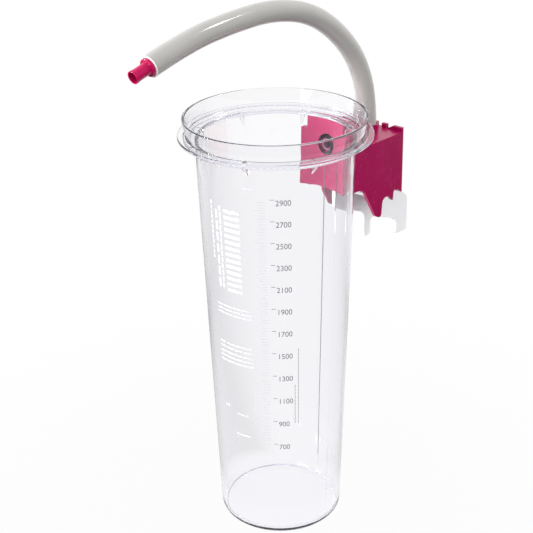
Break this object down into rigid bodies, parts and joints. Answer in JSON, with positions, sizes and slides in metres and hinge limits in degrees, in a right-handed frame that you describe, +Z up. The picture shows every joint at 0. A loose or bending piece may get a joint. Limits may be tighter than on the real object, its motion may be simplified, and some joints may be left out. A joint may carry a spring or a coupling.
{
  "type": "suction canister",
  "caption": "Tall clear graduated tub in a moulded bracket with a rail hook, and a stiff vacuum hose that arches up to its connector.",
  "frame": {"origin": "centre of the tub's base, on the surface it stands on", "axes": "+Z up the tub's axis, +Y towards the bracket, +X to the right with the bracket at the far side"},
  "size_m": [0.154, 0.3155, 0.4494],
  "materials": {
    "clear_plastic": "clear, polished, with a printed scale",
    "seal_rubber": "matt",
    "bracket_plastic": "satin moulded",
    "inner_plastic": "moulded",
    "steel": "plain",
    "white_plastic": "satin moulded",
    "hose_rubber": "smooth, slightly glossy",
    "connector_plastic": "glossy moulded"
  },
  "bodies": {
    "root": {"tub": "clear_plastic", "port_seal": "seal_rubber", "bracket_housing": "bracket_plastic", "vacuum_manifold": "inner_plastic", "manifold_screws": "steel", "hose_clip": "steel", "hook_insert": "white_plastic", "hook_screws": "steel", "vacuum_hose": "hose_rubber", "hose_connector": "connector_plastic"}
  },
  "joints": []
}
